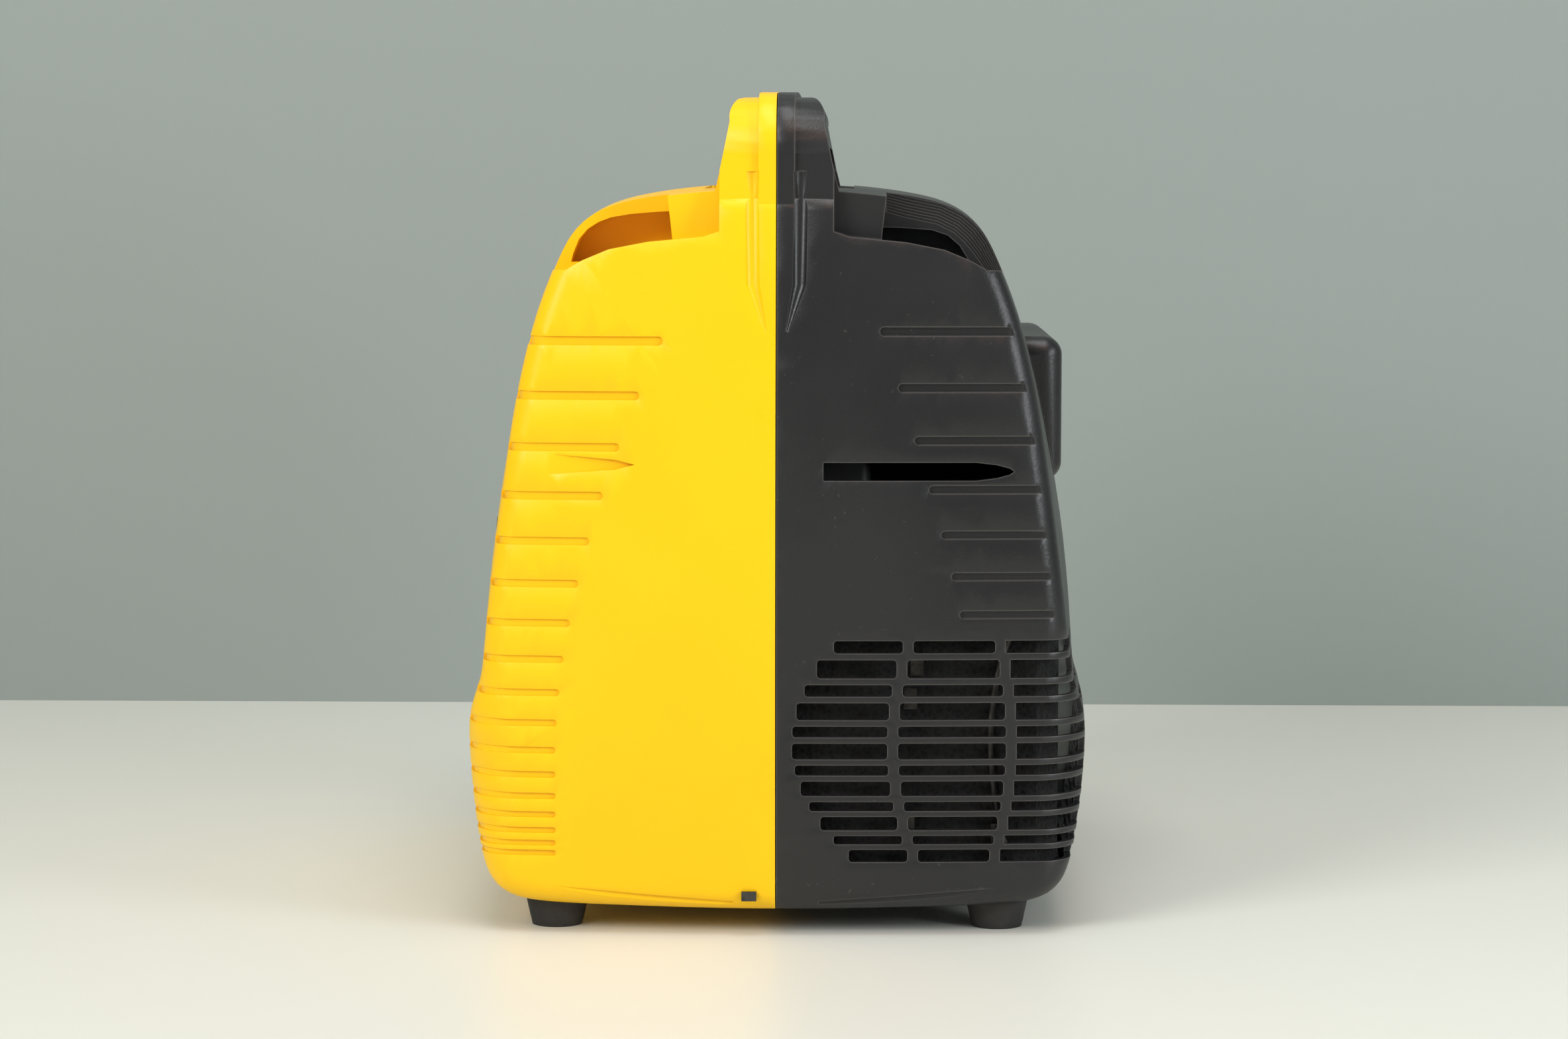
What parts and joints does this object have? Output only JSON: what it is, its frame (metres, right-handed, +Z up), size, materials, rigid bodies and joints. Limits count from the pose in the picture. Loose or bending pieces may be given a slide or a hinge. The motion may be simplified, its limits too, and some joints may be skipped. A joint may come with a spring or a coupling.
{
  "type": "portable generator",
  "caption": "Suitcase inverter generator with two-tone clamshell casing, built-in carrying handle, louvred intake, control panel, pull starter and engine-alternator set inside.",
  "frame": {"origin": "centre of the footprint on the floor under the feet", "axes": "+Z up; Y along the carrying handle, -Y is the end face seen in the picture; +X to the dark half with the control panel, -X to the yellow half"},
  "size_m": [0.2998, 0.366, 0.3964],
  "materials": {
    "yellow_casing": "smooth moulded, soft gloss",
    "black_casing": "fine moulded grain, satin",
    "black_trim": "matt",
    "grey_panel": "satin",
    "white_plastic": "satin",
    "red_plastic": "gloss",
    "dark_rubber": "matt",
    "foam": "open cell foam",
    "filter_foam": "oiled foam",
    "cast_aluminium": "as cast",
    "steel": "machined",
    "hot_steel": "heat tinted",
    "painted_steel": "powder coat",
    "tank_plastic": "blow moulded",
    "copper": "enamelled wire",
    "lamp_lens": "translucent"
  },
  "bodies": {
    "frame": {"casing_left": "yellow_casing", "casing_right": "black_casing", "cover_frame": "yellow_casing", "control_hood": "black_casing", "control_panel": "grey_panel", "ac_sockets": "black_trim", "dc_socket": "black_trim", "usb_socket": "black_trim", "breaker_body": "black_trim", "mode_switch": "black_trim", "eco_frame": "black_trim", "lamps": "lamp_lens", "starter_guide": "white_plastic", "filler_neck": "tank_plastic", "crankcase": "cast_aluminium", "cylinder_barrel": "cast_aluminium", "cylinder_head": "cast_aluminium", "valve_cover": "painted_steel", "stator": "steel", "coil_windings": "copper", "fan_shroud": "black_trim", "recoil_housing": "black_trim", "fuel_tank": "tank_plastic", "fuel_line": "dark_rubber", "carburettor": "cast_aluminium", "intake_ducts": "black_trim", "air_cleaner_box": "black_trim", "air_filter": "filter_foam", "muffler": "hot_steel", "exhaust_pipe": "hot_steel", "tailpipe": "hot_steel", "outlet_bezel": "painted_steel", "muffler_shield": "steel", "spark_plug": "steel", "plug_boot": "dark_rubber", "ignition_coil": "black_trim", "inverter": "cast_aluminium", "panel_loom": "dark_rubber", "base_frame": "cast_aluminium", "engine_bed": "painted_steel", "dampers": "dark_rubber", "intake_foam": "foam", "foam_clips": "steel", "feet": "dark_rubber", "seam_clips": "steel"},
    "crank": {"crankshaft": "steel", "rotor": "steel", "fan": "black_trim"},
    "pulley": {"recoil_pulley": "white_plastic"},
    "grip": {"starter_grip": "black_trim"},
    "cap": {"filler_cap": "black_trim"},
    "vent": {"vent_knob": "black_trim"},
    "knob": {"mode_knob": "black_trim"},
    "eco": {"eco_rocker": "white_plastic"},
    "breaker": {"breaker_button": "red_plastic"},
    "lid_a": {"ac_lid_a": "black_trim"},
    "lid_b": {"ac_lid_b": "black_trim"},
    "cover": {"service_cover": "yellow_casing"},
    "cover_screw": {"cover_knob": "black_trim"},
    "oil_cap": {"dipstick": "black_trim"}
  },
  "joints": [
    {"name": "crank_spin", "type": "hinge", "parent": "frame", "child": "crank", "pos_m": [0, 0.03, 0.115], "axis": [1, 0, 0], "continuous": true},
    {"name": "starter_pull", "type": "slide", "parent": "frame", "child": "grip", "axis": [1, 0, 0], "range_m": [0, 0.4]},
    {"name": "pulley_spin", "type": "hinge", "parent": "frame", "child": "pulley", "pos_m": [0.1, 0.03, 0.115], "axis": [-1, 0, 0], "range_deg": [0, 740]},
    {"name": "cap_turn", "type": "hinge", "parent": "frame", "child": "cap", "pos_m": [-0.062, 0.02, 0.335], "axis": [0, 0, 1], "continuous": true},
    {"name": "vent_turn", "type": "hinge", "parent": "cap", "child": "vent", "pos_m": [-0.062, 0.02, 0.342], "axis": [0, 0, 1], "range_deg": [0, 90]},
    {"name": "mode_turn", "type": "hinge", "parent": "frame", "child": "knob", "pos_m": [0.1292, 0.064, 0.249], "axis": [1, 0, 0], "range_deg": [-45, 45]},
    {"name": "eco_rock", "type": "hinge", "parent": "frame", "child": "eco", "pos_m": [0.1257, 0.064, 0.2235], "axis": [0, 0, 1], "range_deg": [-7, 7]},
    {"name": "breaker_push", "type": "slide", "parent": "frame", "child": "breaker", "axis": [-1, 0, 0], "range_m": [0, 0.003], "stiffness_N_per_m": 600},
    {"name": "lid_a_turn", "type": "hinge", "parent": "frame", "child": "lid_a", "pos_m": [0.1324, -0.054, 0.258], "axis": [0, -1, 0], "range_deg": [0, 95], "stiffness_Nm_per_rad": 0.01, "springref_deg": -11.46},
    {"name": "lid_b_turn", "type": "hinge", "parent": "frame", "child": "lid_b", "pos_m": [0.1324, -0.011, 0.258], "axis": [0, -1, 0], "range_deg": [0, 95], "stiffness_Nm_per_rad": 0.01, "springref_deg": -11.46},
    {"name": "cover_off", "type": "slide", "parent": "frame", "child": "cover", "axis": [-1, 0, 0], "range_m": [0, 0.12]},
    {"name": "cover_screw_turn", "type": "hinge", "parent": "cover", "child": "cover_screw", "pos_m": [-0.14, 0.004, 0.172], "axis": [-1, 0, 0], "continuous": true},
    {"name": "oil_cap_turn", "type": "hinge", "parent": "frame", "child": "oil_cap", "pos_m": [-0.084, -0.006, 0.106], "axis": [-0.8222, 0, 0.5692], "continuous": true}
  ],
  "couplings": [
    {"joint": "pulley_spin", "follows": "starter_pull", "rad_per_m": 30.769}
  ]
}
